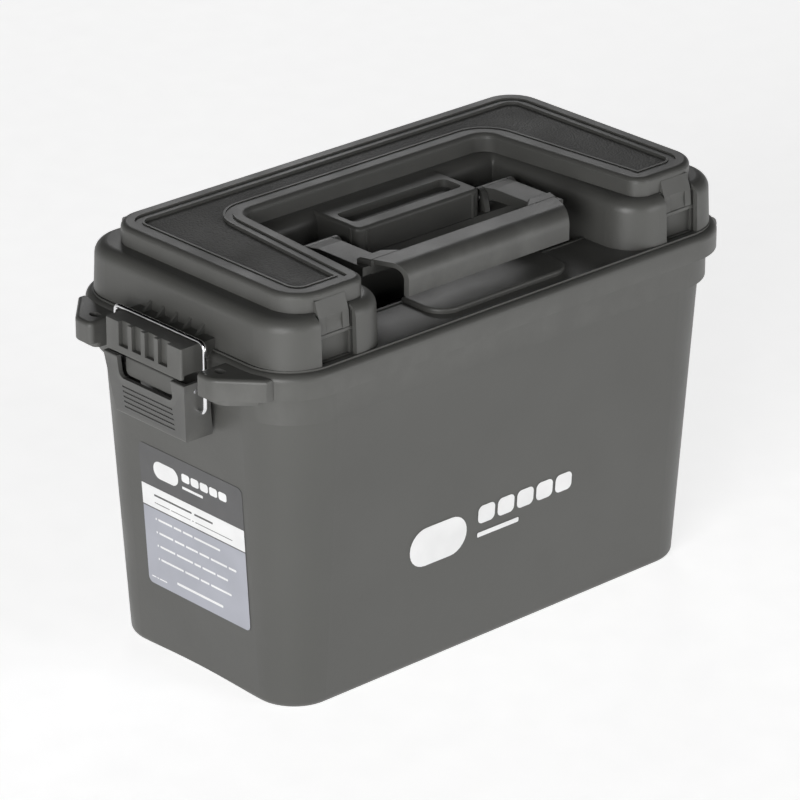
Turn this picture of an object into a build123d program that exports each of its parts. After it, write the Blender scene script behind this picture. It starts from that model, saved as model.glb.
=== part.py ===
"""Hard plastic storage case: tub, hinged lid, wire-bail latch, folding handle, lidded lid compartment.

X runs along the case with the latch at -X and the main hinge at +X, Y across it, Z up from the base.
"""
import os
from math import radians, tan

from build123d import *

os.makedirs("parts", exist_ok=True)

# Driving sizes of the case
case_length = 380.0                              # over the lid's lip
case_width = 205.0
part_line = 212.6                                # height where the lid's lip meets the tub
wall = 3.0
draft = 3.6                                      # degrees, tub walls
fit_gap = 0.05                                   # radial clearance of a turning pin

# Tub
base_length = case_length - 39.0
base_width = case_width - 38.0
base_radius = 28.0
band_height = 18.6
band_inset = 4.0                                 # band behind the lip
rim_top = part_line + 3.4
rim_inset = 6.2                                  # upstanding rim behind the lip
floor_thickness = 3.2
arch_rise = 3.8
arch_chord = 130.0
arch_depth = 24.0

# Lid
lip_radius = 38.0
lid_floor = 228.0
lid_under = rim_top + 0.6
lip_border = 11.0                                # solid border that carries the seal
skin = 2.6
tower_length = 368.0
tower_width = 194.0
tower_top = 259.5
tower_draft = 2.5
well_half = 98.0
well_back = 27.0
well_front = -54.0
well_floor = 206.0
shelf_floor = 242.0
block_center = 3.0
block_half = 51.0
block_front = -9.0
block_back = 37.6
block_top = tower_top - 0.1
tray_depth = 5.0
tray_back = 19.0
tray_front = 1.0

# Compartment lid
cover_half = 169.0
cover_back = 83.0
cover_front = -88.0
cover_bottom = tower_top + 0.1
cover_top = 271.5
tab_center = 142.0
tab_width = 23.0
recess_width = 27.0
recess_back = -89.0
catch_height = 244.5
cover_axis_y = 88.4
cover_axis_z = 262.9
cover_knuckle = 3.1
cover_pin = 2.4
cover_hinge_sites = (-133.0, -44.5, 44.5, 133.0)

# Handle
handle_axis_y = -1.0
handle_axis_z = 250.0
handle_pin = 5.0
arm_inner = 62.5
arm_outer = 83.0
grip_half_front = 66.0
grip_half_back = 80.0
grip_front = -74.0
grip_back = -48.5
grip_top = 260.5
grip_bottom = 241.0
grip_wall = 3.0
arm_back = -11.0                                 # where the arm's flat top ends
lug_thickness = 4.0

# Latch
latch_face = -210.0
keeper_half = 34.5
keeper_bottom = 216.0
keeper_top = 235.6
latch_axis_x = -200.5
latch_axis_z = 207.0
latch_pin = 3.0
boss_half = 22.0
lever_top = 213.0
lever_bottom = 174.0
lever_half_top = 37.0
lever_half_bottom = 32.0
lever_lean = 5.0                                 # how far the plate leans in at its foot
plate = 2.4
bail_wire = 3.0
bail_x = -197.0
bail_foot_z = 193.0
bail_bar_z = keeper_top + bail_wire / 2 + 0.5
bail_half = 40.5

# Padlock ears and main hinge
ear_face = -211.0
ear_inner = 48.0
ear_outer = 62.0
ear_slant = 86.0                                 # where the ear runs out in the wall
eye_x = -199.5
eye_y = 57.0
eye_length = 8.0
eye_width = 6.0
hinge_x = 198.0
hinge_z = part_line
hinge_knuckle = 6.0
hinge_pin_size = 4.0
hinge_sites = (-45.0, 45.0)
hinge_half = 23.0
lid_knuckle_half = 12.0

# Label on the latch end and badge on the long side, both on drafted walls
label_y = -4.2
label_z = 94.6
label_width = 95.0
label_height = 96.5
badge_x = -8.0
badge_z = 81.6
badge_width = 142.0
badge_height = 27.0


def rounded_block(length, width, radius, bottom, top, growth=0.0):
    """Rounded rectangle on the centre line from bottom to top, its sides moving out by growth."""
    with BuildPart() as block:
        with BuildSketch(Plane.XY.offset(bottom)):
            RectangleRounded(length, width, radius)
        with BuildSketch(Plane.XY.offset(top)):
            RectangleRounded(length + 2 * growth, width + 2 * growth, radius + growth)
        loft()
    return block.part


def tower_block(inset, bottom, top, taper):
    """C-shaped tower outline, moved in by inset, raised from bottom to top with a taper."""
    with BuildPart() as block:
        with BuildSketch(Plane.XY.offset(bottom)) as outline:
            RectangleRounded(tower_length - 2 * inset, tower_width - 2 * inset, 30.0 - inset)
            with Locations((0, well_back + inset)):
                Rectangle(2 * (well_half + inset), 200, align=(Align.CENTER, Align.MAX), mode=Mode.SUBTRACT)
            inner = outline.vertices().filter_by(lambda v: abs(abs(v.X) - well_half - inset) < 0.1)
            fillet(inner.group_by(Axis.Y)[0], 25.0 - inset)
            fillet(inner.group_by(Axis.Y)[-1], 14.0 + inset)
        extrude(amount=top - bottom, taper=taper)
    return block.part


def cover_block(inset, bottom, top):
    """Outline of the compartment lid, moved in by inset, from bottom to top."""
    with BuildPart() as block:
        with BuildSketch(Plane.XY.offset(bottom)) as outline:
            with BuildLine():
                Polyline(
                    (-cover_half, cover_back), (cover_half, cover_back), (cover_half, cover_front),
                    (112, cover_front), (101, 38), (-101, 38), (-112, cover_front),
                    (-cover_half, cover_front), close=True,
                )
            make_face()
            outer = outline.vertices().filter_by(lambda v: abs(v.X) > 150)
            fillet(outer, 22.0)
            inner = outline.vertices().filter_by(lambda v: 90 < abs(v.X) < 113)
            fillet(inner, 11.0)
            if inset:
                offset(amount=-inset, kind=Kind.ARC, mode=Mode.REPLACE)
        extrude(amount=top - bottom)
    return block.part


def bar_y(x, z, radius, half, center=0.0):
    """Round bar along Y about (x, z), reaching half to each side of center."""
    with BuildPart() as bar:
        with BuildSketch(Plane.XZ.offset(-center)):
            with Locations((x, z)):
                Circle(radius)
        extrude(amount=half, both=True)
    return bar.part


def bar_x(y, z, radius, half, center=0.0):
    """Round bar along X about (y, z), reaching half to each side of center."""
    with BuildPart() as bar:
        with BuildSketch(Plane.YZ.offset(center)):
            with Locations((y, z)):
                Circle(radius)
        extrude(amount=half, both=True)
    return bar.part


def box_between(x0, x1, y0, y1, z0, z1):
    """Plain box between two opposite corners."""
    with BuildPart(Plane(origin=((x0 + x1) / 2, (y0 + y1) / 2, (z0 + z1) / 2))) as block:
        Box(abs(x1 - x0), abs(y1 - y0), abs(z1 - z0))
    return block.part


def ear_block(side, back, face, inner, outer, slant, bottom, top, rounding=0.0):
    """Padlock ear in plan: square at its inner end, slanted back to the wall at its outer end."""
    with BuildPart() as block:
        with BuildSketch(Plane.XY.offset(bottom)) as outline:
            with BuildLine():
                Polyline(
                    (back, side * inner), (face, side * inner), (face, side * outer),
                    (-189, side * slant), (back, side * slant), close=True,
                )
            make_face()
            corners = outline.vertices().filter_by(lambda v: v.X < face + 0.1)
            fillet(corners.filter_by(lambda v: abs(v.Y) < inner + 1), 4)
            fillet(outline.vertices().filter_by(lambda v: v.X < face + 0.1 and abs(v.Y) > outer - 1), 12)
        extrude(amount=top - bottom)
        if rounding:
            fillet(block.faces().sort_by(Axis.Z)[-1].edges(), rounding)
    return block.part


def eye_hole(side, bottom, top):
    """Oblong padlock eye."""
    with BuildPart() as hole:
        with BuildSketch(Plane.XY.offset(bottom)):
            with Locations((eye_x, side * eye_y)):
                SlotOverall(eye_length, eye_width, rotation=90)
        extrude(amount=top - bottom)
    return hole.part


def wall_growth(height):
    """How far the drafted tub wall has moved out at a height."""
    return height * tan(radians(draft))


# Tub: drafted walls, thick band and upstanding rim, arched end relief, latch boss and hinge lugs
tub_skin = rounded_block(base_length, base_width, base_radius, 0, part_line, wall_growth(part_line))
inside_length = base_length - 2 * wall
inside_width = base_width - 2 * wall
tub_room = rounded_block(
    inside_length + 2 * wall_growth(7), inside_width + 2 * wall_growth(7), base_radius - wall,
    7, rim_top, wall_growth(rim_top - 7),
)
tub_pan = rounded_block(base_length - 2 * (arch_depth + wall), inside_width, 18, floor_thickness, 8)
arch_radius = (arch_chord ** 2 / 4 + arch_rise ** 2) / (2 * arch_rise)
arch_cuts = [
    bar_x(0, arch_rise - arch_radius, arch_radius, arch_depth / 2, side * (base_length - arch_depth + 1) / 2)
    for side in (-1, 1)
]
band_length = case_length - 2 * band_inset
band_width = case_width - 2 * band_inset
with BuildPart() as body_tub:
    add(tub_skin)
    fillet(body_tub.faces().sort_by(Axis.Z)[0].edges(), 4.5)
    with BuildSketch(Plane.XY.offset(part_line - band_height)):
        RectangleRounded(band_length, band_width, lip_radius - band_inset + 6)
    extrude(amount=band_height)
    with BuildSketch(Plane.XY.offset(part_line)):
        RectangleRounded(case_length - 2 * rim_inset, case_width - 2 * rim_inset, lip_radius - 1)
    extrude(amount=rim_top - part_line)
    add(tub_room, mode=Mode.SUBTRACT)
    add(tub_pan, mode=Mode.SUBTRACT)
    for cut in arch_cuts:
        add(cut, mode=Mode.SUBTRACT)

boss_block = box_between(latch_axis_x - 5, -183, -boss_half, boss_half, latch_axis_z - 6.5, latch_axis_z + 5.2)
boss_bore = bar_y(latch_axis_x, latch_axis_z, latch_pin / 2 + fit_gap, 40)
with BuildPart() as latch_boss:
    add(boss_block)
    fillet(latch_boss.edges().filter_by(Axis.X).group_by(Axis.Z)[0], 4)
    fillet(latch_boss.faces().sort_by(Axis.X)[0].edges(), 1)
    add(boss_bore, mode=Mode.SUBTRACT)
padlock_tabs = [
    ear_block(side, -184, ear_face + 6, ear_inner + 2, ear_outer + 2, ear_outer + 16,
              part_line - 4.3, part_line - 0.3)
    for side in (-1, 1)
]
padlock_eyes = [eye_hole(side, part_line - 8, lid_floor + 2) for side in (-1, 1)]


def hinge_lug(y0, y1, foot_z0, foot_z1, foot_x):
    """Knuckle around the main hinge pin with a web back to the wall."""
    with BuildPart() as lug:
        with BuildSketch(Plane.XZ.offset(-y1)):
            with Locations((hinge_x, hinge_z)):
                Circle(hinge_knuckle)
            with BuildLine():
                Polyline((foot_x, foot_z0), (hinge_x, foot_z0), (hinge_x, foot_z1), (foot_x, foot_z1), close=True)
            make_face()
        extrude(amount=y1 - y0)
    return lug.part


tub_lugs = [
    hinge_lug(y + side * (lid_knuckle_half + hinge_half) / 2 - 5, y + side * (lid_knuckle_half + hinge_half) / 2 + 5,
              part_line - hinge_knuckle, part_line - 0.3, 183)
    for y in hinge_sites for side in (-1, 1)
]
tub_hinge_bores = [bar_y(hinge_x, hinge_z, hinge_pin_size / 2, hinge_half + 2, y) for y in hinge_sites]
with BuildPart() as body_tub_full:
    add(body_tub.part)
    add(latch_boss.part)
    for piece in padlock_tabs + tub_lugs:
        add(piece)
    add(tub_room, mode=Mode.SUBTRACT)
    for piece in padlock_eyes + tub_hinge_bores:
        add(piece, mode=Mode.SUBTRACT)
body_tub_full.part.label = "body_tub"
export_step(body_tub_full.part, "parts/body_tub.step")

# Lid: lip, C-shaped tower with its trough, handle well, tray block, keeper, ears and hinge knuckles
lip_length = case_length - 2 * lip_border
lip_width = case_width - 2 * lip_border
with BuildPart() as lip:
    with BuildSketch(Plane.XY.offset(part_line)):
        RectangleRounded(case_length, case_width, lip_radius)
    extrude(amount=lid_floor - part_line)
    fillet(lip.faces().sort_by(Axis.Z)[-1].edges(), 4.5)
    with BuildSketch(Plane.XY.offset(part_line)):
        RectangleRounded(case_length - 2 * rim_inset + 1, case_width - 2 * rim_inset + 1, lip_radius - 0.5)
    extrude(amount=lid_under - part_line, mode=Mode.SUBTRACT)
with BuildPart() as tower:
    add(tower_block(0, lid_floor - 2, tower_top, tower_draft))
    fillet(tower.faces().sort_by(Axis.Z)[-1].edges(), 8)

with BuildPart() as well_room:
    with BuildSketch(Plane.XY.offset(well_floor)) as well_plan:
        with Locations((0, well_back)):
            Rectangle(2 * well_half, well_back - well_front, align=(Align.CENTER, Align.MAX))
        fillet(well_plan.vertices().group_by(Axis.Y)[-1], 14)
    extrude(amount=lid_floor + 5 - well_floor)
well_shell = box_between(
    -well_half - skin, well_half + skin, well_front - skin, well_back + skin, well_floor - skin, lid_floor,
)
shelf = box_between(-well_half, well_half, handle_axis_y - 9, well_back + 1, well_floor - 1, shelf_floor)
shelf_room = box_between(-well_half + skin, well_half - skin, handle_axis_y - 9 + skin, well_back, 200,
                         shelf_floor - skin)
with BuildPart() as tray_block:
    with BuildSketch(Plane.XY.offset(well_floor - 1)) as tray_plan:
        with Locations((block_center, block_back)):
            Rectangle(2 * block_half, block_back - block_front, align=(Align.CENTER, Align.MAX))
        fillet(tray_plan.vertices().group_by(Axis.Y)[0], 5)
    extrude(amount=block_top - well_floor + 1)
    fillet(tray_block.faces().sort_by(Axis.Z)[-1].edges(), 2.5)
with BuildPart() as corner_bead:
    with BuildSketch(Plane.XY.offset(shelf_floor - 2)):
        with Locations(*[(block_center + side * (block_half - x), block_front + y)
                         for side in (-1, 1) for x, y in ((0.6, 7), (7, 0.6))]):
            Circle(1.3)
    extrude(amount=block_top - 1.5 - shelf_floor + 2)
with BuildPart() as tray_room:
    with BuildSketch(Plane.XY.offset(block_top - tray_depth)):
        with Locations((block_center, (tray_front + tray_back) / 2)):
            RectangleRounded(2 * block_half - 12, tray_back - tray_front, 4)
    extrude(amount=tray_depth + 5)
tray_hollow = box_between(block_center - block_half + skin, block_center + block_half - skin, block_front + skin,
                          well_back - 1, 200, block_top - tray_depth - skin)

under_lip = rounded_block(lip_length, lip_width, lip_radius - lip_border + 4, lid_under - 2, lid_floor - skin)
under_tower = tower_block(3.4, lid_floor - skin - 0.5, tower_top - 4, tower_draft)
trough_shell = cover_block(1.2, lid_under, tower_top - 1)
trough_room = cover_block(3.6, lid_under + 2.4, tower_top + 5)
with BuildPart() as underside:
    add(under_lip)
    add(under_tower)
    add(trough_shell, mode=Mode.SUBTRACT)
    add(well_shell, mode=Mode.SUBTRACT)
    add(tray_block.part, mode=Mode.SUBTRACT)
with BuildPart() as seal_groove:
    with BuildSketch(Plane.XY.offset(lid_under - 1)):
        RectangleRounded(case_length - 2 * rim_inset + 0.6, case_width - 2 * rim_inset + 0.6, lip_radius - 1)
        RectangleRounded(case_length - 2 * rim_inset - 8.6, case_width - 2 * rim_inset - 8.6, lip_radius - 6,
                         mode=Mode.SUBTRACT)
    extrude(amount=3.6)

with BuildPart() as pad:
    with BuildSketch(Plane.XY.offset(lid_floor - 1)) as pad_plan:
        with Locations((2, -88)):
            Rectangle(112, well_front + 88, align=(Align.CENTER, Align.MIN))
        fillet(pad_plan.vertices().group_by(Axis.Y)[0], 15)
    extrude(amount=4.2)
    fillet(pad.faces().sort_by(Axis.Z)[-1].edges(), 1.5)
with BuildPart() as rim_ridge:
    with BuildSketch(Plane.XY.offset(lid_floor - 1)):
        RectangleRounded(case_length - 9, case_width - 9, lip_radius - 4.5)
        RectangleRounded(case_length - 12, case_width - 12, lip_radius - 6, mode=Mode.SUBTRACT)
    extrude(amount=2.2)
well_lip = box_between(-well_half - 1, well_half + 1, well_front - 1.6, well_front, lid_floor - 1, lid_floor + 0.8)

with BuildPart() as keeper:
    add(box_between(latch_face, -180, -keeper_half, keeper_half, keeper_bottom, keeper_top))
    fillet(keeper.edges().filter_by(Axis.Z).group_by(Axis.X)[0], 1.5)
    with Locations(*[(latch_face, y, keeper_bottom + 4.5) for y in (-18, -6, 6, 18)]):
        Box(6, 8.4, 30, align=(Align.CENTER, Align.CENTER, Align.MIN), mode=Mode.SUBTRACT)
    with Locations(((latch_face + plate - 190) / 2, 0, keeper_bottom)):
        Box(-190 - latch_face - plate, 2 * keeper_half + 2, 5, mode=Mode.SUBTRACT)
with BuildPart() as gussets:
    with BuildSketch(Plane.XZ.offset(-1)):
        with BuildLine():
            Polyline((-191, keeper_top - 1), (-183, keeper_top + 6), (-178, keeper_top - 1), close=True)
        make_face()
    extrude(amount=2)
bail_groove = bar_y(bail_x, bail_bar_z, bail_wire / 2 + 0.1, 60)
ears = [
    ear_block(side, -184, ear_face, ear_inner, ear_outer, ear_slant, part_line, lid_floor - 1.6, 2.5)
    for side in (-1, 1)
]
lid_knuckles = [
    hinge_lug(y - lid_knuckle_half + 0.4, y + lid_knuckle_half - 0.4, part_line + 0.3,
              part_line + hinge_knuckle, 187)
    for y in hinge_sites
]
lid_bores = [bar_y(hinge_x, hinge_z, hinge_pin_size / 2 + fit_gap, hinge_half + 2, y) for y in hinge_sites]


def handle_lug(x):
    """Upright lug that carries a handle pin."""
    with BuildPart() as lug:
        with BuildSketch(Plane.YZ.offset(x - lug_thickness / 2)):
            with Locations((handle_axis_y, handle_axis_z)):
                Circle(6)
            with BuildLine():
                Polyline(
                    (handle_axis_y - 8, shelf_floor - 1), (handle_axis_y + 16, shelf_floor - 1),
                    (handle_axis_y + 6, handle_axis_z), (handle_axis_y - 6, handle_axis_z), close=True,
                )
            make_face()
        extrude(amount=lug_thickness)
    return lug.part


lug_centers = (arm_inner - 0.5 - lug_thickness / 2, arm_outer + 0.5 + lug_thickness / 2)
handle_lugs = [handle_lug(side * x) for side in (-1, 1) for x in lug_centers]
handle_bores = [
    bar_x(handle_axis_y, handle_axis_z, handle_pin / 2, 18, side * (arm_inner + arm_outer) / 2)
    for side in (-1, 1)
]

# Cover hinge: two tower knuckles either side of one cover knuckle at each site
cover_lugs = []
cover_knuckles = []
cover_bores = []
cover_gaps = []
for site in cover_hinge_sites:
    for side in (-1, 1):
        cover_lugs.append(bar_x(cover_axis_y, cover_axis_z, cover_knuckle, 4, site + side * 12.5))
        cover_lugs.append(box_between(site + side * 12.5 - 4, site + side * 12.5 + 4, cover_axis_y - cover_knuckle,
                                      cover_axis_y + cover_knuckle, tower_top - 5, cover_axis_z))
    cover_knuckles.append(bar_x(cover_axis_y, cover_axis_z, cover_knuckle, 8, site))
    cover_knuckles.append(box_between(site - 8, site + 8, cover_back - 1, cover_axis_y, cover_axis_z - 0.4,
                                      cover_axis_z + cover_knuckle))
    cover_bores.append(bar_x(cover_axis_y, cover_axis_z, cover_pin / 2, 17, site))
    cover_gaps.append(bar_x(cover_axis_y, cover_axis_z, cover_knuckle + 0.4, 8.4, site))

# Front recesses of the tower that take the snap tabs
recesses = []
recess_shells = []
catches = []
for side in (-1, 1):
    x = side * tab_center
    recess_shells.append(box_between(x - recess_width / 2 - skin, x + recess_width / 2 + skin, cover_front - 3,
                                     cover_front + 4.5, lid_floor - 1, tower_top - 2))
    recesses.append(box_between(x - recess_width / 2, x + recess_width / 2, -105, recess_back,
                                lid_floor + 0.6, tower_top + 10))
    with BuildPart() as catch:
        with BuildSketch(Plane.YZ.offset(x - recess_width / 2 - 1)):
            with Locations((recess_back - 1.2, catch_height)):
                RectangleRounded(3.4, 2.6, 0.8)
        extrude(amount=recess_width + 2)
    catches.append(catch.part)

with BuildPart() as lid_shell:
    add(lip.part)
    add(tower.part)
    add(ears[0])
    add(ears[1])
    add(well_shell)
    add(underside.part, mode=Mode.SUBTRACT)
    for piece in recess_shells:
        add(piece)
    add(trough_room, mode=Mode.SUBTRACT)
    for piece in recesses:
        add(piece, mode=Mode.SUBTRACT)
    for piece in catches:
        add(piece)
    add(well_room.part, mode=Mode.SUBTRACT)
    add(shelf)
    add(shelf_room, mode=Mode.SUBTRACT)
    add(tray_block.part)
    add(corner_bead.part)
    add(tray_room.part, mode=Mode.SUBTRACT)
    add(tray_hollow, mode=Mode.SUBTRACT)
    for piece in handle_lugs + lid_knuckles + cover_lugs:
        add(piece)
    add(pad.part)
    add(rim_ridge.part)
    add(well_lip)
    add(keeper.part)
    with Locations(*[(0, y, 0) for y in (-24, -12, 0, 12, 24)]):
        add(gussets.part)
    add(seal_groove.part, mode=Mode.SUBTRACT)
    add(bail_groove, mode=Mode.SUBTRACT)
    for piece in padlock_eyes + lid_bores + handle_bores + cover_bores + cover_gaps:
        add(piece, mode=Mode.SUBTRACT)
lid_shell.part.label = "lid_shell"
export_step(lid_shell.part, "parts/lid_shell.step")

# Gasket in the lid's groove, resting on the tub's rim
with BuildPart() as lid_seal:
    with BuildSketch(Plane.XY.offset(rim_top + 0.05)):
        RectangleRounded(case_length - 2 * rim_inset + 0.2, case_width - 2 * rim_inset + 0.2, lip_radius - 1.2)
        RectangleRounded(case_length - 2 * rim_inset - 8.2, case_width - 2 * rim_inset - 8.2, lip_radius - 5.8,
                         mode=Mode.SUBTRACT)
    extrude(amount=lid_under + 2.5 - rim_top)
    fillet(lid_seal.faces().sort_by(Axis.Z)[0].edges(), 0.5)
lid_seal.part.label = "lid_seal"
export_step(lid_seal.part, "parts/lid_seal.step")

# Main hinge pins
for name, y in zip(("hinge_pin_left", "hinge_pin_right"), hinge_sites):
    with BuildPart() as hinge_pin:
        add(bar_y(hinge_x, hinge_z, hinge_pin_size / 2, hinge_half - 0.2, y))
        chamfer(hinge_pin.edges(), 0.4)
    hinge_pin.part.label = name
    export_step(hinge_pin.part, f"parts/{name}.step")

# Compartment lid: rimmed C-shaped cover with a beaded border, lowered panel, snap tabs and knuckles
tab_face = cover_front - 3.8
tabs = []
scoops = []
for side in (-1, 1):
    x = side * tab_center
    with BuildPart() as tab:
        with BuildSketch(Plane.YZ.offset(x - tab_width / 2)):
            with BuildLine():
                Polyline(
                    (cover_front + 3, cover_bottom + 7), (cover_front - 0.2, cover_bottom + 7),
                    (tab_face, cover_bottom - 3), (tab_face - 0.8, catch_height + 2.0),
                    (recess_back - 0.3, catch_height + 2.0), (recess_back - 0.3, cover_bottom),
                    (cover_front + 3, cover_bottom), close=True,
                )
            make_face()
        extrude(amount=tab_width)
    tabs.append(tab.part)
    scoops.append(bar_x(tab_face - 14.2, catch_height + 8, 15, 6.5, x))
with BuildPart() as compartment_lid:
    add(cover_block(0, cover_bottom, cover_top))
    fillet(compartment_lid.faces().sort_by(Axis.Z)[-1].edges(), 3.5)
    add(cover_block(8.5, cover_top - 1.2, cover_top + 1), mode=Mode.SUBTRACT)
    add(cover_block(13.0, cover_top - 1.3, cover_top - 0.6))
    add(cover_block(14.4, cover_top - 2.5, cover_top + 1), mode=Mode.SUBTRACT)
    add(cover_block(2.4, cover_bottom - 1, cover_top - 4.9), mode=Mode.SUBTRACT)
    for piece in tabs:
        add(piece)
    for piece in scoops:
        add(piece, mode=Mode.SUBTRACT)
    for piece in cover_knuckles:
        add(piece)
    for site in cover_hinge_sites:
        add(bar_x(cover_axis_y, cover_axis_z, cover_pin / 2 + fit_gap, 17, site), mode=Mode.SUBTRACT)
compartment_lid.part.label = "compartment_lid"
export_step(compartment_lid.part, "parts/compartment_lid.step")
for number, site in enumerate(cover_hinge_sites, 1):
    with BuildPart() as cover_hinge_pin:
        add(bar_x(cover_axis_y, cover_axis_z, cover_pin / 2, 16.3, site))
        chamfer(cover_hinge_pin.edges(), 0.3)
    cover_hinge_pin.part.label = f"compartment_hinge_pin_{number}"
    export_step(cover_hinge_pin.part, f"parts/compartment_hinge_pin_{number}.step")

# Carry handle: inverted channel grip with slanted ends on two flat arms with rounded pivot ends
grip_middle = (grip_front + grip_back) / 2
with BuildPart() as grip:
    with BuildSketch(Plane.YZ) as grip_section:
        with Locations((grip_middle, grip_top)):
            Rectangle(grip_back - grip_front, grip_top - grip_bottom, align=(Align.CENTER, Align.MAX))
        fillet(grip_section.vertices().group_by(Axis.Y)[-1].sort_by(Axis.X)[0], 10)
        fillet(grip_section.vertices().filter_by(lambda v: v.Y > grip_top - 0.1).sort_by(Axis.X)[-1], 4)
        with Locations((grip_middle, grip_top - grip_wall)):
            Rectangle(grip_back - grip_front - 2 * grip_wall, 30, align=(Align.CENTER, Align.MAX), mode=Mode.SUBTRACT)
        inner_top = grip_section.vertices().filter_by(lambda v: abs(v.Y - grip_top + grip_wall) < 0.1)
        fillet(inner_top.sort_by(Axis.X)[0], 7)
        with Locations((grip_back, grip_bottom)):
            Rectangle(8, 10, align=(Align.CENTER, Align.MIN), mode=Mode.SUBTRACT)
    extrude(amount=grip_half_back + 5, both=True)
    with BuildSketch(Plane.XY.offset(grip_bottom - 1)):
        with BuildLine():
            Polyline(
                (-grip_half_front, grip_front - 1), (grip_half_front, grip_front - 1), (grip_half_back, -40),
                (-grip_half_back, -40), close=True,
            )
        make_face()
    extrude(amount=30, mode=Mode.INTERSECT)
with BuildPart() as arm:
    with BuildSketch(Plane.YZ.offset(arm_inner)):
        with BuildLine():
            Polyline(
                (grip_back - 3, grip_top - 3.5), (arm_back, grip_top - 3.5), (handle_axis_y + 1, handle_axis_z + 5.5),
                (handle_axis_y + 5, handle_axis_z), (handle_axis_y, handle_axis_z - 6),
                (handle_axis_y - 8, handle_axis_z - 0.5), (grip_back - 3, handle_axis_z + 1.5), close=True,
            )
        make_face()
        with Locations((handle_axis_y, handle_axis_z)):
            Circle(6)
    extrude(amount=arm_outer - arm_inner)
    fillet(arm.edges().filter_by(Axis.Y).group_by(Axis.Z)[-1], 1.0)
with BuildPart() as arm_root:
    with BuildSketch(Plane.XY.offset(grip_top - 4)):
        with BuildLine():
            Polyline((50, grip_back - 4), (61, -43), (arm_outer - 3, -43), (arm_outer - 6, grip_back - 4), close=True)
        make_face()
    extrude(amount=4)
    fillet(arm_root.faces().sort_by(Axis.Z)[-1].edges(), 1.5)
with BuildPart() as carry_handle:
    add(grip.part)
    for piece in (arm.part, arm_root.part):
        add(piece)
        mirror(piece, about=Plane.YZ)
    for side in (-1, 1):
        add(bar_x(handle_axis_y, handle_axis_z, handle_pin / 2 + fit_gap, 18, side * (arm_inner + arm_outer) / 2),
            mode=Mode.SUBTRACT)
carry_handle.part.label = "carry_handle"
export_step(carry_handle.part, "parts/carry_handle.step")
for name, side in (("handle_pin_left", -1), ("handle_pin_right", 1)):
    with BuildPart() as handle_hinge_pin:
        add(bar_x(handle_axis_y, handle_axis_z, handle_pin / 2, 15.2, side * (arm_inner + arm_outer) / 2))
        chamfer(handle_hinge_pin.edges(), 0.4)
    handle_hinge_pin.part.label = name
    export_step(handle_hinge_pin.part, f"parts/{name}.step")


def lever_block(inset):
    """Lever outline moved in by inset: side profile crossed with the tapered front outline."""
    with BuildPart() as block:
        with BuildSketch(Plane.XZ):
            with BuildLine():
                Polyline(
                    (latch_face + inset, lever_top + (5 if inset else 0)),
                    (latch_face + lever_lean + inset, lever_bottom + inset),
                    (-184.5 + 5 * inset, lever_bottom + inset), (-188 + 5 * inset, 195),
                    (-188.5 + 5 * inset, 207), (-193 + 5 * inset, lever_top + (5 if inset else 0)), close=True,
                )
            make_face()
        extrude(amount=60, both=True)
        with BuildSketch(Plane.YZ):
            with BuildLine():
                Polyline(
                    (-lever_half_top + inset, lever_top + 8), (lever_half_top - inset, lever_top + 8),
                    (lever_half_top - inset, lever_top), (lever_half_bottom - inset, lever_bottom),
                    (inset - lever_half_bottom, lever_bottom), (inset - lever_half_top, lever_top), close=True,
                )
            make_face()
        extrude(amount=400, both=True, mode=Mode.INTERSECT)
    return block.part


# Latch lever: dished plate with side cheeks, notch round the boss and five grip grooves
with BuildPart() as notch:
    with BuildSketch(Plane.YZ.offset(latch_face - 5)) as notch_plan:
        with Locations((0, 199)):
            Rectangle(49, 30, align=(Align.CENTER, Align.MIN))
        fillet(notch_plan.vertices().group_by(Axis.Y)[0] + notch_plan.vertices().group_by(Axis.Y)[-1], 4)
    extrude(amount=13)
lever_outer = lever_block(0)
lever_inner = lever_block(plate)
groove_heights = [193.5 - 3.4 * row for row in range(5)]
with BuildPart() as latch_lever:
    add(lever_outer)
    fillet(latch_lever.edges().filter_by(Axis.Y).group_by(Axis.X)[0], 0.8)
    fillet(latch_lever.edges().filter_by(Axis.Y).group_by(Axis.Z)[0].group_by(Axis.X)[0], 1.2)
    add(lever_inner, mode=Mode.SUBTRACT)
    add(notch.part, mode=Mode.SUBTRACT)
    for z in groove_heights:
        lean = (lever_top - z) / (lever_top - lever_bottom) * lever_lean
        add(box_between(latch_face - 4, latch_face + lean + 0.7, -23, 23, z - 0.6, z + 0.6), mode=Mode.SUBTRACT)
    add(bar_y(latch_axis_x, latch_axis_z, latch_pin / 2, 50), mode=Mode.SUBTRACT)
    add(bar_y(bail_x, bail_foot_z, bail_wire / 2 + fit_gap, 50), mode=Mode.SUBTRACT)
latch_lever.part.label = "latch_lever"
export_step(latch_lever.part, "parts/latch_lever.step")

with BuildPart() as latch_pivot_pin:
    add(bar_y(latch_axis_x, latch_axis_z, latch_pin / 2, 36.2))
    chamfer(latch_pivot_pin.edges(), 0.3)
latch_pivot_pin.part.label = "latch_pivot_pin"
export_step(latch_pivot_pin.part, "parts/latch_pivot_pin.step")

# Wire bail: one bent steel wire, its feet turned in through the lever's cheeks
with BuildPart() as latch_bail:
    with BuildLine(Plane.YZ.offset(bail_x)) as bail_path:
        FilletPolyline(
            (31.4, bail_foot_z), (bail_half, bail_foot_z), (bail_half, bail_bar_z),
            (-bail_half, bail_bar_z), (-bail_half, bail_foot_z), (-31.4, bail_foot_z), radius=4.5,
        )
    with BuildSketch(Plane(origin=bail_path.line @ 0, z_dir=bail_path.line % 0)):
        Circle(bail_wire / 2)
    sweep()
latch_bail.part.label = "latch_bail"
export_step(latch_bail.part, "parts/latch_bail.step")

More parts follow.
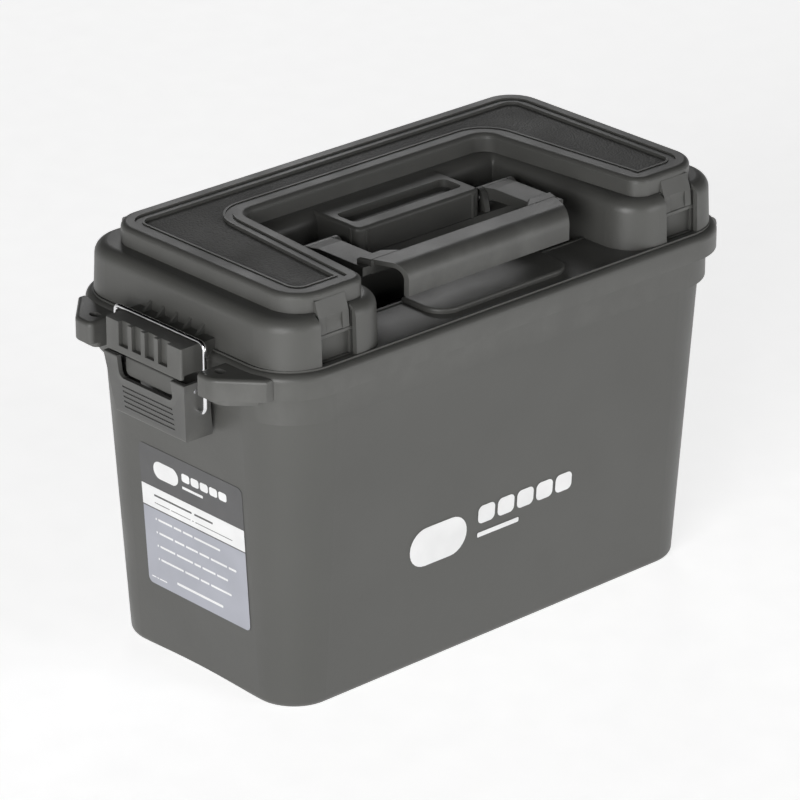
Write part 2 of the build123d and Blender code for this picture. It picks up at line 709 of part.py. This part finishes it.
# Adhesive label on the latch end and plain printed badge on the long side, laid on the drafted walls
label_tilt = Plane(origin=(-(base_length / 2 + wall_growth(label_z)), label_y, label_z), x_dir=(0, -1, 0),
                   z_dir=(-1, 0, -tan(radians(draft))))
with BuildPart() as end_label:
    with BuildSketch(label_tilt):
        RectangleRounded(label_width, label_height, 4)
    extrude(amount=0.3)
end_label.part.label = "end_label"
export_step(end_label.part, "parts/end_label.step")
badge_tilt = Plane(origin=(badge_x, -(base_width / 2 + wall_growth(badge_z)), badge_z), x_dir=(1, 0, 0),
                   z_dir=(0, -1, -tan(radians(draft))))
with BuildPart() as side_badge:
    with BuildSketch(badge_tilt):
        RectangleRounded(badge_width, badge_height, 13)
    extrude(amount=0.3)
side_badge.part.label = "side_badge"
export_step(side_badge.part, "parts/side_badge.step")
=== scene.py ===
"""Looks of the hard storage case: materials, printed label and badge, floor, lights and camera."""

from math import cos, radians, sin

import bpy
from mathutils import Matrix, Vector


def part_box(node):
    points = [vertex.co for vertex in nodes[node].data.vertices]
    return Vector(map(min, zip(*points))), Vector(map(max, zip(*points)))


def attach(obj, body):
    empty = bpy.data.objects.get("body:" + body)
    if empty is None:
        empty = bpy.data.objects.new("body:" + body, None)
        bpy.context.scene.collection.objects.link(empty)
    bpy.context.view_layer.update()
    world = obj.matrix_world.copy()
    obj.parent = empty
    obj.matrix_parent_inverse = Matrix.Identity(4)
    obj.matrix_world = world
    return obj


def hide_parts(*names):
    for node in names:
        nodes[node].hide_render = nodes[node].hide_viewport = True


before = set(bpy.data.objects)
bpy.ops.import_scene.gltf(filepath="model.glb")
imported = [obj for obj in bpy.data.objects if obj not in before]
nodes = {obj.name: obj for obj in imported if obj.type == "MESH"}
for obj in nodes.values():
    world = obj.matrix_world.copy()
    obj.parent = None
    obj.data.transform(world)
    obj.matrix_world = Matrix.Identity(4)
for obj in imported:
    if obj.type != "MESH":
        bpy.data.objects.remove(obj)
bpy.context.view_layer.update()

# Camera: the photograph's angle and a long lens
VIEW_AZIMUTH = -42.615
VIEW_ELEVATION = 24.01
VIEW_ROLL = -0.128
VIEW_DISTANCE = 2.865
VIEW_AIM = (-0.0030, 0.0026, 0.1297)
LENS = 207.4
SENSOR = 36.0

# Colours, linear
CASE = (0.078, 0.078, 0.073)
# Lighter case colour used for the painted highlight on convex edges
CASE_EDGE_HIGHLIGHT = (0.115, 0.115, 0.109)
LATCH = (0.078, 0.078, 0.075)
STEEL = (0.86, 0.86, 0.87)
PIN_STEEL = (0.52, 0.52, 0.53)
RUBBER = (0.018, 0.018, 0.018)
LABEL_DARK = (0.090, 0.090, 0.092)
LABEL_PALE = (0.40, 0.41, 0.46)
PRINT_WHITE = (0.86, 0.86, 0.86)
PRINT_GREY = (0.10, 0.10, 0.10)

# Compartment lid: depth of its pebbled panel under the lid's top and the height band that counts as panel, m
PANEL_DEPTH = 0.0025
PANEL_BAND = 0.0002

# Printed layers: how far they start off the wall (m) and how thick each is (mm), so that some lie on others
OFF_WALL = 0.00014
PANEL_FILM, MARK_FILM, LINE_FILM, BAND_FILM, RULE_FILM, TITLE_FILM = 0.05, 0.06, 0.08, 0.10, 0.11, 0.12
TEXT_HEIGHT, TEXT_GAP = 1.4, 1.5
MM = 1000

# Studio: name, place, aim, size and power of each softbox; metres and watts
SOFTBOXES = (
    ("key", (-2.6, -1.4, 0.8), (0, 0, 0.12), 1.5, 56),
    ("side", (1.0, -2.7, 0.7), (0, 0, 0.12), 1.2, 20),
    ("back", (1.6, 1.9, 1.5), (0, 0, 0.2), 0.8, 6),
)
FLOOR_SIZE = 30
FLOOR_COLOUR = (0.8, 0.8, 0.8)
FLOOR_GLOW = 0.75
# Sky: the lowest and the highest ray height, then the strength at each
SKY_FALL = (0.0, 0.45, 0.50, 0.0)


class Graph:
    """A material's node tree with short ways to add and join nodes."""

    def __init__(self, name):
        self.material = bpy.data.materials.new(name)
        self.material.use_nodes = True
        self.tree = self.material.node_tree
        self.shader = self.tree.nodes["Principled BSDF"]

    def node(self, kind, **settings):
        made = self.tree.nodes.new(kind)
        for key, value in settings.items():
            if key in made.inputs:
                made.inputs[key].default_value = value
            else:
                setattr(made, key, value)
        return made

    def link(self, out, into):
        self.tree.links.new(out, into)

    def place(self):
        """Object coordinates, in metres."""
        return self.node("ShaderNodeTexCoord").outputs["Object"]

    def noise(self, scale, detail=2.0, rough=0.5, vector=None):
        made = self.node("ShaderNodeTexNoise", Scale=scale, Detail=detail, Roughness=rough)
        self.link(vector or self.place(), made.inputs["Vector"])
        return made.outputs["Fac"]

    def span(self, value, low, high, to_low, to_high):
        made = self.node("ShaderNodeMapRange")
        self.link(value, made.inputs["Value"])
        for key, number in (("From Min", low), ("From Max", high), ("To Min", to_low), ("To Max", to_high)):
            made.inputs[key].default_value = number
        return made.outputs["Result"]

    def math(self, operation, first, second=None):
        made = self.node("ShaderNodeMath", operation=operation)
        for socket, value in zip(made.inputs, (first, second)):
            if value is None:
                continue
            if isinstance(value, (int, float)):
                socket.default_value = value
            else:
                self.link(value, socket)
        return made.outputs[0]

    def mix(self, factor, first, second):
        """Colour mix; a colour is a tuple or another node's output."""
        made = self.node("ShaderNodeMix", data_type="RGBA")
        self.link(factor, made.inputs[0])
        for socket, value in ((made.inputs[6], first), (made.inputs[7], second)):
            if isinstance(value, tuple):
                socket.default_value = (*value, 1.0)
            else:
                self.link(value, socket)
        return made.outputs[2]

    def bump(self, height, depth, before=None):
        made = self.node("ShaderNodeBump", Strength=1.0, Distance=depth)
        self.link(height, made.inputs["Height"])
        if before:
            self.link(before, made.inputs["Normal"])
        return made.outputs["Normal"]


def moulded_plastic(name, base, edge_highlight, roughness=0.42, grain=0.00004):
    """Satin polypropylene: fine moulded grain, uneven gloss, and a painted highlight of lighter colour on
    convex edges.
    """
    g = Graph(name)
    edge = g.node("ShaderNodeNewGeometry").outputs["Pointiness"]
    patches = g.span(g.noise(60, 4), 0.4, 0.7, 0.3, 1.0)
    # Painted highlight: convex edges, found by pointiness, are mixed in noise patches towards the lighter
    # colour
    painted_edge_highlight = g.math("MULTIPLY", g.span(edge, 0.52, 0.62, 0.0, 1.0), patches)
    mottled = g.mix(g.span(g.noise(9, 3), 0.3, 0.7, 0.0, 1.0), base, tuple(c * 1.10 for c in base))
    g.link(g.mix(painted_edge_highlight, mottled, edge_highlight), g.shader.inputs["Base Color"])
    g.link(g.span(g.noise(22, 4), 0.3, 0.7, roughness - 0.05, roughness + 0.06), g.shader.inputs["Roughness"])
    fine = g.bump(g.noise(2600, 3, 0.6), grain)
    g.link(g.bump(g.noise(240, 2), grain * 1.5, fine), g.shader.inputs["Normal"])
    g.shader.inputs["IOR"].default_value = 1.49
    return g


def pebbled_plastic(name, base, edge_highlight, low, high):
    """The compartment lid: moulded plastic whose lowered panel, between two heights, is pebbled."""
    g = moulded_plastic(name, base, edge_highlight)
    split = g.node("ShaderNodeSeparateXYZ")
    g.link(g.place(), split.inputs[0])
    above = g.math("GREATER_THAN", split.outputs["Z"], low)
    below = g.math("LESS_THAN", split.outputs["Z"], high)
    panel = g.math("MULTIPLY", above, below)
    cells = g.node("ShaderNodeTexVoronoi", feature="SMOOTH_F1", Scale=780.0, Smoothness=0.6)
    g.link(g.place(), cells.inputs["Vector"])
    pebble = g.math("MULTIPLY", g.math("SUBTRACT", 1.0, cells.outputs["Distance"]), panel)
    before = g.shader.inputs["Normal"].links[0].from_socket
    g.link(g.bump(pebble, 0.00035, before), g.shader.inputs["Normal"])
    colour = g.shader.inputs["Base Color"].links[0].from_socket
    # Painted sheen: the pebbled panel's colour is lifted 22% lighter than the case
    g.link(g.mix(panel, colour, tuple(c * 1.22 for c in base)), g.shader.inputs["Base Color"])
    rough = g.shader.inputs["Roughness"].links[0].from_socket
    g.link(g.math("ADD", rough, g.math("MULTIPLY", panel, 0.14)), g.shader.inputs["Roughness"])
    return g


def metal(name, colour, roughness, streak):
    """Bright drawn wire or plain pin steel, with faint drawing lines."""
    g = Graph(name)
    g.shader.inputs["Metallic"].default_value = 1.0
    g.link(g.mix(g.span(g.noise(300, 3), 0.3, 0.7, 0.0, 1.0), colour, tuple(c * 0.82 for c in colour)),
           g.shader.inputs["Base Color"])
    g.link(g.span(g.noise(500, 3), 0.3, 0.7, roughness * 0.7, roughness * 1.4), g.shader.inputs["Roughness"])
    g.link(g.bump(g.noise(1500, 2), streak), g.shader.inputs["Normal"])
    return g


def plain(name, colour, roughness, grain=0.00002, scale=1800):
    """Matt film, ink or rubber with a fine surface."""
    g = Graph(name)
    g.link(g.mix(g.span(g.noise(40, 3), 0.3, 0.7, 0.0, 1.0), colour, tuple(c * 0.9 for c in colour)),
           g.shader.inputs["Base Color"])
    g.link(g.span(g.noise(90, 3), 0.3, 0.7, roughness - 0.05, roughness + 0.05), g.shader.inputs["Roughness"])
    g.link(g.bump(g.noise(scale, 2), grain), g.shader.inputs["Normal"])
    return g


def dress(names, graph):
    """Give CAD nodes a material."""
    for name in names:
        slots = nodes[name].material_slots
        for place in slots:
            place.link = "OBJECT"
            place.material = graph.material


# Printed layers: thin rounded shapes laid on the label and on the long side, on the drafted walls
TILT = radians(3.6)
END_WALL = {
    "across": Vector((0, -1, 0)),
    "up": Vector((-sin(TILT), 0, cos(TILT))),
    "out": Vector((-cos(TILT), 0, -sin(TILT))),
}
SIDE_WALL = {
    "across": Vector((1, 0, 0)),
    "up": Vector((0, -sin(TILT), cos(TILT))),
    "out": Vector((0, -cos(TILT), -sin(TILT))),
}
STEPS = 7


def outline(x, y, width, height, radius):
    """Corner-rounded rectangle about (x, y), anticlockwise."""
    points = []
    for turn, sx, sy in ((0, 1, 1), (1, -1, 1), (2, -1, -1), (3, 1, -1)):
        for step in range(STEPS + 1):
            angle = radians(90 * (turn + step / STEPS))
            points.append((x + sx * (width / 2 - radius) + radius * cos(angle),
                           y + sy * (height / 2 - radius) + radius * sin(angle)))
    return points


def printed(name, node, wall, shapes, thickness, graph):
    """One thin solid per shape (mm about the node's middle), standing proud of the node's face."""
    low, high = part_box(node)
    middle = (Vector(low) + Vector(high)) / 2 + wall["out"] * OFF_WALL
    corners, faces = [], []
    for shape in shapes:
        ring = outline(*shape)
        start, count = len(corners), len(ring)
        for lift in (0.0, thickness):
            raised = wall["out"] * lift
            corners += [middle + (wall["across"] * x + wall["up"] * y + raised) / MM for x, y in ring]
        faces.append([start + i for i in reversed(range(count))])
        faces.append([start + count + i for i in range(count)])
        faces += [[start + i, start + (i + 1) % count, start + count + (i + 1) % count, start + count + i]
                  for i in range(count)]
    mesh = bpy.data.meshes.new(name)
    mesh.from_pydata(corners, [], faces)
    mesh.update()
    mesh.materials.append(graph.material)
    made = bpy.data.objects.new(name, mesh)
    bpy.context.scene.collection.objects.link(made)
    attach(made, "tub")
    return made


def words(x, y, lengths, height, gap):
    """A line of plain blocks from x, one for each length."""
    shapes = []
    for length in lengths:
        shapes.append((x + length / 2, y, length, height, min(height, length) * 0.3))
        x += length + gap
    return shapes


panel_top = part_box("compartment_lid")[1][2] - PANEL_DEPTH
dress(["body_tub", "lid_shell"], moulded_plastic("case_plastic", CASE, CASE_EDGE_HIGHLIGHT))
dress(["carry_handle"], moulded_plastic("handle_plastic", CASE, CASE_EDGE_HIGHLIGHT, 0.37))
dress(["latch_lever"], moulded_plastic("latch_plastic", LATCH, CASE_EDGE_HIGHLIGHT, 0.44))
dress(["compartment_lid"],
      pebbled_plastic("cover_plastic", CASE, CASE_EDGE_HIGHLIGHT, panel_top - PANEL_BAND, panel_top + PANEL_BAND))
dress(["latch_bail"], metal("bright_wire", STEEL, 0.14, 0.000005))
dress([n for n in nodes if "_pin" in n], metal("pin_steel", PIN_STEEL, 0.3, 0.00001))
dress(["lid_seal"], plain("seal_rubber", RUBBER, 0.7))
dress(["end_label"], plain("label_film", LABEL_DARK, 0.42))
dress(["side_badge"], plain("badge_ink", PRINT_WHITE, 0.5))

# Label: dark header with a plain mark, white band, pale panel with lines of plain blocks
white_ink = plain("white_ink", PRINT_WHITE, 0.45)
pale_film = plain("pale_film", LABEL_PALE, 0.42)
grey_ink = plain("grey_ink", PRINT_GREY, 0.5)
label_prints = [
    printed("label_panel", "end_label", END_WALL, [(0, -15, 94.4, 65.7, 3.8)], PANEL_FILM, pale_film),
    printed("label_band", "end_label", END_WALL, [(0, 13.4, 94.6, 14.4, 0.2)], BAND_FILM, white_ink),
    printed("label_rule", "end_label", END_WALL, [(0, 5.8, 94.4, 0.8, 0.1)], RULE_FILM, grey_ink),
    printed("label_mark", "end_label", END_WALL,
            [(-23.3, 34, 23, 11.6, 5.7)] + words(-8.3, 37, (7.3,) * 5, 5.6, 1.2)
            + words(-8.3, 30, (19.0,), 1.8, 1), MARK_FILM, white_ink),
    printed("label_lines", "end_label", END_WALL,
            words(-36.4, -1.2, (1.1, 13, 7, 9, 24), TEXT_HEIGHT, TEXT_GAP)
            + words(-36.4, -10.4, (1.1, 13, 9, 11, 9, 15, 7), TEXT_HEIGHT, TEXT_GAP)
            + words(-36.4, -19.6, (1.1, 14, 15, 6, 12, 10), TEXT_HEIGHT, TEXT_GAP)
            + words(-36.4, -28.8, (1.1, 21, 13, 8, 19), TEXT_HEIGHT, TEXT_GAP)
            + words(-20.0, -39.9, (43.0,), 1.7, 1)
            + words(-44.0, -43.0, (4, 1.6, 7), 0.8, 0.8), LINE_FILM, white_ink),
    printed("label_title", "end_label", END_WALL,
            words(-36.0, 15.2, (35.0, 17.0), 1.3, 2.5)
            + words(-36.0, 10.0, (14, 18, 1.5, 34), 0.5, 1.5), TITLE_FILM, grey_ink),
]

# Long side: a plain capsule, equal blocks and a bar
side_mark = printed(
    "side_mark", "side_badge", SIDE_WALL,
    [(-47.4, 0, 47.0, 26.2, 13.0)]
    + words(-14.6, 7.0, (14.0,) * 5, 12.2, 2.4)
    + words(-14.6, -6.6, (35.0,), 3.2, 1),
    PANEL_FILM, white_ink)
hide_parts("side_badge")

# Floor, lights and camera
bpy.ops.mesh.primitive_plane_add(size=FLOOR_SIZE, location=(0, 0, 0))
floor = bpy.context.object
floor.name = "floor"
pale = plain("pale_floor", FLOOR_COLOUR, 0.9, 0.0, 10)
pale.shader.inputs["Emission Color"].default_value = (1, 1, 1, 1)
pale.shader.inputs["Emission Strength"].default_value = FLOOR_GLOW
pale.shader.inputs["Specular IOR Level"].default_value = 0.0
floor.data.materials.append(pale.material)

# Studio: bright at the horizon, dim overhead
world = bpy.data.worlds.new("studio")
bpy.context.scene.world = world
world.use_nodes = True
sky = world.node_tree
direction = sky.nodes.new("ShaderNodeTexCoord")
split = sky.nodes.new("ShaderNodeSeparateXYZ")
fall = sky.nodes.new("ShaderNodeMapRange")
sky.links.new(direction.outputs["Generated"], split.inputs[0])
sky.links.new(split.outputs["Z"], fall.inputs["Value"])
for key, number in zip(("From Min", "From Max", "To Min", "To Max"), SKY_FALL):
    fall.inputs[key].default_value = number
sky.links.new(fall.outputs["Result"], sky.nodes["Background"].inputs["Strength"])
sky.nodes["Background"].inputs["Color"].default_value = (1, 1, 1, 1)


def soft_light(name, place, aim, size, power):
    """Square softbox at place, turned to aim."""
    lamp = bpy.data.lights.new(name, "AREA")
    lamp.size = size
    lamp.energy = power
    made = bpy.data.objects.new(name, lamp)
    made.location = place
    made.rotation_euler = (Vector(aim) - Vector(place)).to_track_quat("-Z", "Y").to_euler()
    bpy.context.scene.collection.objects.link(made)


for softbox in SOFTBOXES:
    soft_light(*softbox)

lens = bpy.data.cameras.new("camera")
lens.sensor_width = SENSOR
lens.lens = LENS
lens.clip_end = 50
camera = bpy.data.objects.new("camera", lens)
turn = (Matrix.Rotation(radians(VIEW_AZIMUTH), 4, "Z") @ Matrix.Rotation(radians(90 - VIEW_ELEVATION), 4, "X")
        @ Matrix.Rotation(radians(-VIEW_ROLL), 4, "Z"))
camera.matrix_world = Matrix.Translation(VIEW_AIM) @ turn @ Matrix.Translation((0, 0, VIEW_DISTANCE))
bpy.context.scene.collection.objects.link(camera)
bpy.context.scene.camera = camera
bpy.context.scene.view_settings.view_transform = "Standard"
